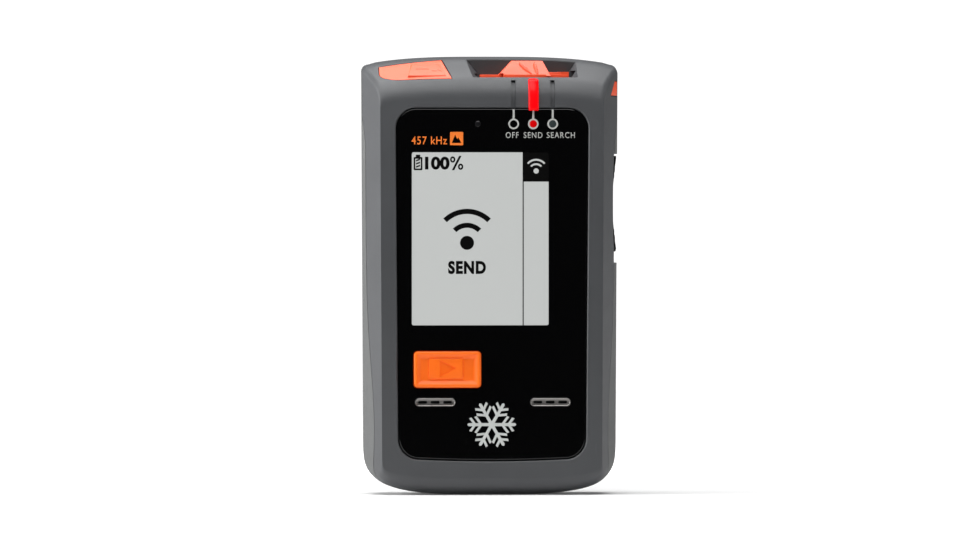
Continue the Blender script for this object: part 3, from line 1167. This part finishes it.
# ---- battery bay --------------------------------------------------------------------------------
def door_tab_box(x):
    """The corners of one hook at the door's foot: it reaches under the shell below the door."""
    width, reach, thick = DOOR_TAB
    return ((x - width / 2, DOOR_FRONT_Y, DOOR_LOW[1] - reach),
            (x + width / 2, DOOR_FRONT_Y + thick, DOOR_LOW[1] + 0.8 * MM))


def build_battery_door():
    door = plate("battery_door", [rounded_rectangle(DOOR_LOW, DOOR_HIGH, DOOR_CORNER)], DOOR_THICKNESS,
                 facing_front(BACK_Y - DOOR_THICKNESS / 2), CASE_PLASTIC)
    outer = grown((-BAY_HALF_WIDTH, BAY_BOTTOM_Z), (BAY_HALF_WIDTH, BAY_TOP_Z),
                  (DOOR_LAP + DOOR_SEAL_WIDTH) / 2)
    inner = grown(*outer, -DOOR_SEAL_WIDTH)
    groove_outer, groove_inner = grown(*outer, 0.1 * MM), grown(*inner, -0.1 * MM)
    cut(door, plate("door_seal_groove", [rounded_rectangle(*groove_outer, 1.2 * MM),
                                         rounded_rectangle(*groove_inner, 0.4 * MM)],
                    2 * DOOR_SEAL_DEPTH, facing_front(DOOR_FRONT_Y)))
    seal = plate("door_gasket", [rounded_rectangle(*outer, 1.1 * MM), rounded_rectangle(*inner, 0.5 * MM)],
          DOOR_SEAL_DEPTH, facing_front(DOOR_FRONT_Y + DOOR_SEAL_DEPTH / 2 - 0.1 * MM), SEAL_RUBBER)
    hinge_point = (0, BACK_Y, DOOR_LOW[1])
    set_origin(door, hinge_point)
    set_origin(seal, hinge_point)
    for x in (-DOOR_TAB_X, DOOR_TAB_X):
        join(door, box(f"door_tab_{'left' if x < 0 else 'right'}", *door_tab_box(x)))
    head_depth = 1.0 * MM
    cut(door, cylinder("coin_screw_hole", COIN_SCREW_SHANK + GAP, (0, DOOR_FRONT_Y - MM, COIN_SCREW_Z),
                       (0, BACK_Y + MM, COIN_SCREW_Z)))
    cut(door, cylinder("coin_screw_seat", COIN_SCREW_HEAD + GAP,
                       (0, BACK_Y - head_depth - GAP, COIN_SCREW_Z), (0, BACK_Y + MM, COIN_SCREW_Z)))

    head, shank = COIN_SCREW_HEAD, COIN_SCREW_SHANK
    profile = [(0, 0), (head - 0.2 * MM, 0), (head, -0.2 * MM), (head, -head_depth), (shank, -head_depth),
               (shank, -COIN_SCREW_LENGTH + 0.4 * MM), (shank - 0.4 * MM, -COIN_SCREW_LENGTH),
               (0, -COIN_SCREW_LENGTH)]
    screw = turned("door_screw", profile, (0, BACK_Y - 0.1 * MM, COIN_SCREW_Z), (0, 1, 0), NICKEL)
    cut(screw, box("coin_slot", (-head - MM, BACK_Y - 0.8 * MM, COIN_SCREW_Z - 0.55 * MM),
                   (head + MM, BACK_Y + MM, COIN_SCREW_Z + 0.55 * MM)))
    insert = cylinder("screw_insert", INSERT_RADIUS,
                      (0, DOOR_FRONT_Y - 3 * GAP - INSERT_LENGTH, COIN_SCREW_Z),
                      (0, DOOR_FRONT_Y - 3 * GAP, COIN_SCREW_Z), BRASS)
    cut(insert, cylinder("insert_thread", COIN_SCREW_SHANK + GAP, (0, FRONT_Y, COIN_SCREW_Z),
                         (0, BACK_Y, COIN_SCREW_Z)))


def build_cells():
    """Three cells side by side, end for end, each with a spring at its base, joined in series by plates."""
    nub_radius, nub_height = CELL_NUB
    r = CELL_RADIUS
    for index in range(CELL_COUNT):
        x = (index - (CELL_COUNT - 1) / 2) * CELL_PITCH
        up = index % 2 == 0
        sign = 1 if up else -1
        spring_end = BAY_BOTTOM_Z if up else BAY_TOP_Z
        base = spring_end + sign * (2 * GAP + CONTACT_THICKNESS + SPRING_LENGTH)
        can = CELL_LENGTH - nub_height
        profile = [(0, CELL_LENGTH), (nub_radius, CELL_LENGTH), (nub_radius, can), (r - 0.5 * MM, can),
                   (r, can - 0.5 * MM),
                   (r, 0.4 * MM), (r - 0.4 * MM, 0), (0, 0)]
        turned(f"battery_cell_{index + 1}", profile, (x, CELL_Y, base), (0, 0, sign), CELL_WRAP)
        turns, per_turn = 2.5, 10
        count = int(turns * per_turn)
        points = []
        for step in range(count + 1):
            angle = 2 * math.pi * step / per_turn
            radius = 3.4 * MM - 1.6 * MM * step / count
            first_turn = GAP + CONTACT_THICKNESS + SPRING_WIRE_RADIUS + 0.1 * MM
            rise = SPRING_LENGTH - 2 * SPRING_WIRE_RADIUS - 0.1 * MM
            height = spring_end + sign * (first_turn + rise * step / count)
            points.append((x + radius * math.cos(angle), CELL_Y + radius * math.sin(angle), height))
        wire(f"battery_spring_{index + 1}", points, SPRING_WIRE_RADIUS, NICKEL)
    half = CELL_RADIUS - 0.8 * MM
    first, second, third = ((index - 1) * CELL_PITCH for index in range(3))
    for name, low_x, high_x, at_top in (("contact_negative", first, first, False),
                                        ("contact_link_upper", first, second, True),
                                        ("contact_link_lower", second, third, False),
                                        ("contact_positive", third, third, True)):
        near = BAY_TOP_Z - GAP / 2 - CONTACT_THICKNESS if at_top else BAY_BOTTOM_Z + GAP / 2
        box(name, (low_x - half, CELL_Y - half, near),
            (high_x + half, CELL_Y + half, near + CONTACT_THICKNESS), NICKEL)


# ---- antennas -----------------------------------------------------------------------------------
def winding(name, start, end):
    """A coil wound on a ferrite rod, as a tube with flanges."""
    tube = cylinder(name, ROD_RADIUS + COIL_THICKNESS + 0.2 * MM, start, end, COPPER)
    overrun = (Vector(end) - Vector(start)).normalized() * MM
    cut(tube, cylinder(name + "_bore", ROD_RADIUS + 0.2 * MM, Vector(start) - overrun, Vector(end) + overrun))


def build_antennas():
    x, y = LONG_ROD_FROM_SIDE - CASE_WIDTH / 2, LONG_ROD_Y
    low, high = LONG_ROD_BOTTOM_Z, CASE_HEIGHT - LONG_ROD_BELOW_TOP
    middle = (low + high) / 2
    cylinder("long_antenna_core", ROD_RADIUS, (x, y, low), (x, y, high), FERRITE, bevel=0.3 * MM)
    winding("long_antenna_coil", (x, y, middle - LONG_COIL_LENGTH / 2), (x, y, middle + LONG_COIL_LENGTH / 2))
    for tag, z in (("lower", low + 2.5 * MM), ("upper", high - 2.5 * MM)):
        half = ROD_RADIUS + 1.1 * MM
        holder = box(f"antenna_holder_{tag}", (x - half, y - half, z - 1.5 * MM),
                     (x + half, y + half, z + 1.5 * MM), SEAL_RUBBER, bevel=0.4 * MM)
        cut(holder, cylinder(f"holder_bore_{tag}", ROD_RADIUS + 0.15 * MM, (x, y, z - 3 * MM),
                             (x, y, z + 3 * MM)))
    y, z = CROSS_ROD_Y, CASE_HEIGHT - CROSS_ROD_BELOW_TOP
    middle = sum(CROSS_ROD_X) / 2
    cylinder("cross_antenna_core", ROD_RADIUS, (CROSS_ROD_X[0], y, z), (CROSS_ROD_X[1], y, z), FERRITE,
             bevel=0.3 * MM)
    winding("cross_antenna_coil", (middle - CROSS_COIL_LENGTH / 2, y, z),
            (middle + CROSS_COIL_LENGTH / 2, y, z))
    outer = centred((0, z - FLAT_COIL_BELOW_CROSS_ROD), FLAT_COIL_SIZE)
    inner = grown(*outer, -FLAT_COIL_BAND)
    plate("flat_antenna_coil", [rounded_rectangle(*outer, 4 * MM), rounded_rectangle(*inner, 1.5 * MM)],
          FLAT_COIL_THICKNESS, facing_front(BOARD_BACK_Y + 2 * GAP + FLAT_COIL_THICKNESS / 2), COPPER)


# ---- fasteners ----------------------------------------------------------------------------------
def build_fasteners():
    head_radius, head_height = CASE_SCREW_HEAD
    seat = BACK_Y - CASE_SCREW_SUNK
    shank, length = CASE_SCREW_SHANK, seat - POST_MEET_Y + CASE_SCREW_BITE
    profile = [(0, 0), (head_radius - 0.3 * MM, 0), (head_radius, -0.3 * MM),
               (head_radius, -head_height + GAP), (shank, -head_height + GAP),
               (shank, -length + MM), (0.2 * MM, -length), (0, -length)]
    for index, (x, z) in enumerate(screw_places()):
        screw = turned(f"case_screw_{index + 1}", profile, (x, seat, z), (0, 1, 0), STEEL, sides=16)
        cut(screw, cylinder(f"drive_recess_{index + 1}", 0.85 * MM, (x, seat - 0.8 * MM, z),
                            (x, seat + MM, z), sides=6))
    cylinder("lanyard_pin", LANYARD_PIN_RADIUS, *lanyard_pin_ends(), STEEL, sides=16)


build_front_housing()
build_rear_housing()
build_gasket()
build_window()
build_display()
build_main_board()
build_main_button()
build_grilles()
build_mode_switch()
build_lock_button()
build_side_controls()
build_battery_door()
build_cells()
build_antennas()
build_fasteners()
